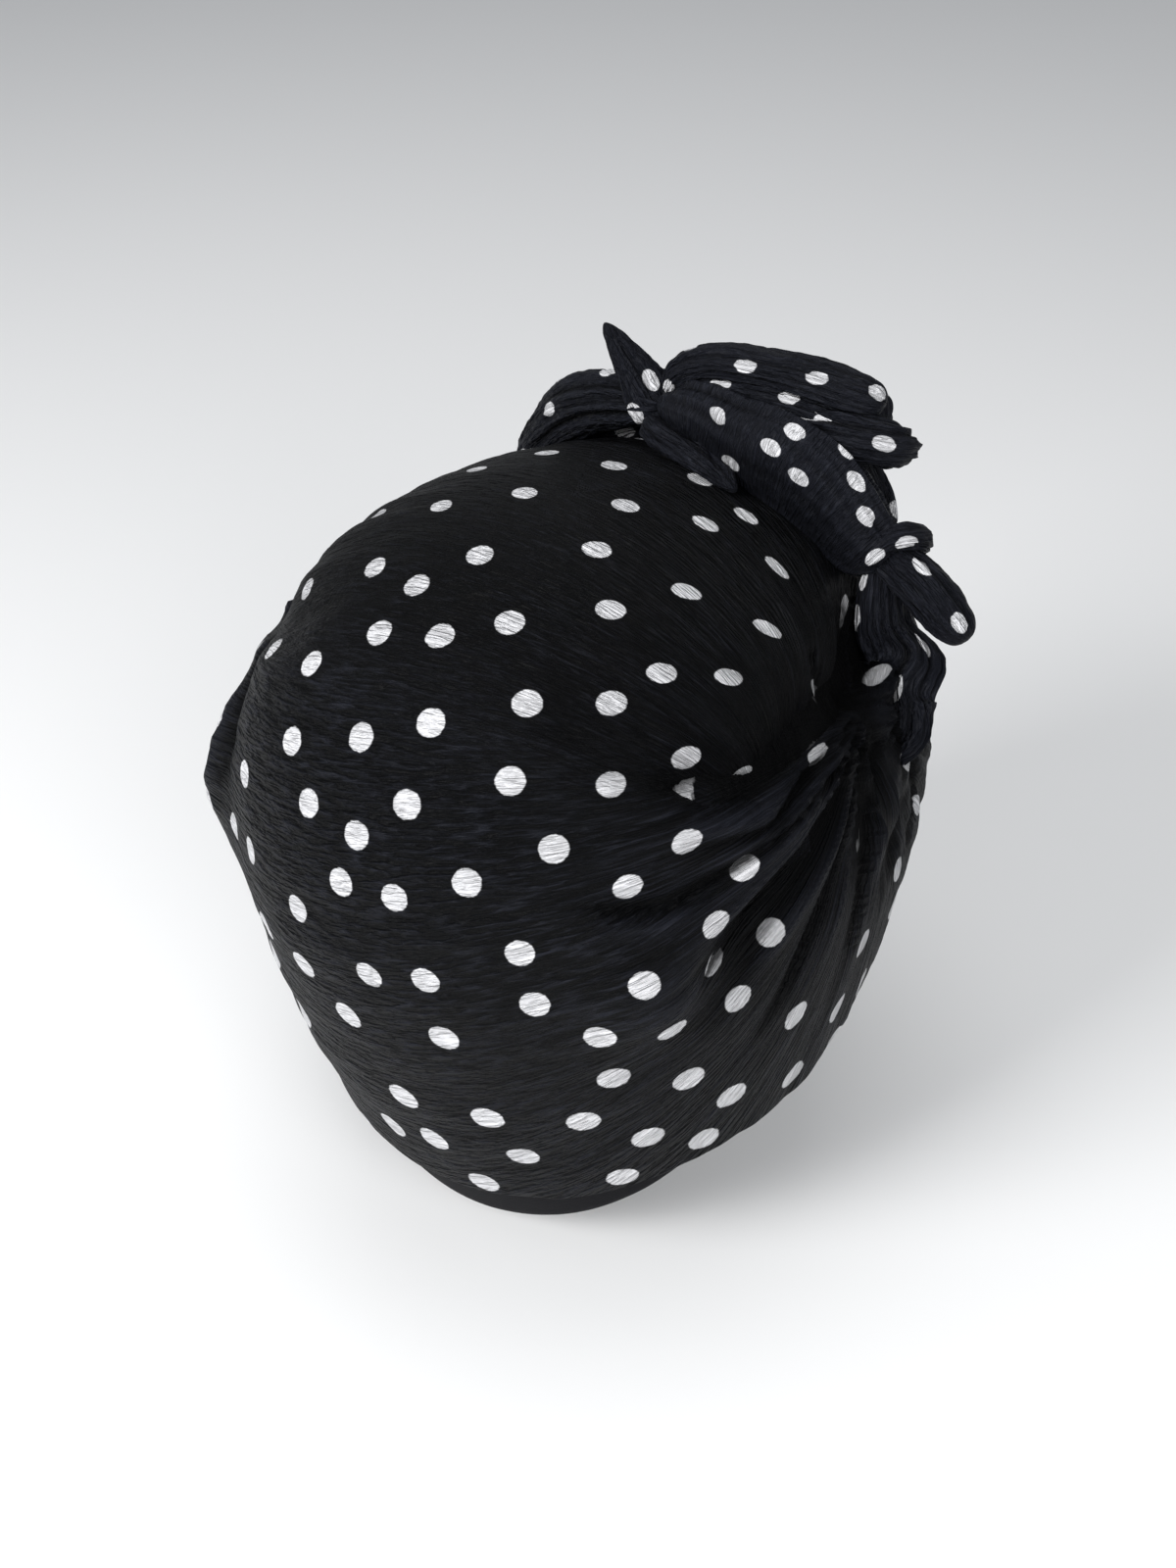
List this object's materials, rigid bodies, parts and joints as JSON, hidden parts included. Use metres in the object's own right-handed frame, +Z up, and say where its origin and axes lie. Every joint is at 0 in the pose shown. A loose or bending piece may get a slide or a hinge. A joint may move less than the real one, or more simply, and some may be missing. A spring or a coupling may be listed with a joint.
{
  "type": "turban headwrap",
  "caption": "Soft turban headwrap of crinkled dotted jersey: a deep cap whose side pleats are drawn up to a tied knot with short tails over the forehead.",
  "frame": {"origin": "the point inside the crown where the top of the head bears, which is the head_seat mount", "axes": "+Z up out of the crown, -Y the way the face looks, -X the wearer's right"},
  "size_m": [0.1642, 0.1909, 0.2071],
  "materials": {
    "dotted_jersey": "matte charcoal crinkled jersey with white dots",
    "plain_jersey": "matte black jersey"
  },
  "bodies": {
    "root": {"cap_shell": "dotted_jersey", "nape_band": "plain_jersey", "side_tie_right": "dotted_jersey", "side_tie_left": "dotted_jersey", "knot_band": "dotted_jersey", "left_roll": "dotted_jersey", "right_roll": "dotted_jersey", "front_wrap": "dotted_jersey", "top_roll": "dotted_jersey", "inner_roll": "dotted_jersey", "front_roll": "dotted_jersey", "tail_ring": "dotted_jersey", "right_tail": "dotted_jersey", "tail_tip": "dotted_jersey", "tail_flap": "dotted_jersey"}
  },
  "joints": []
}
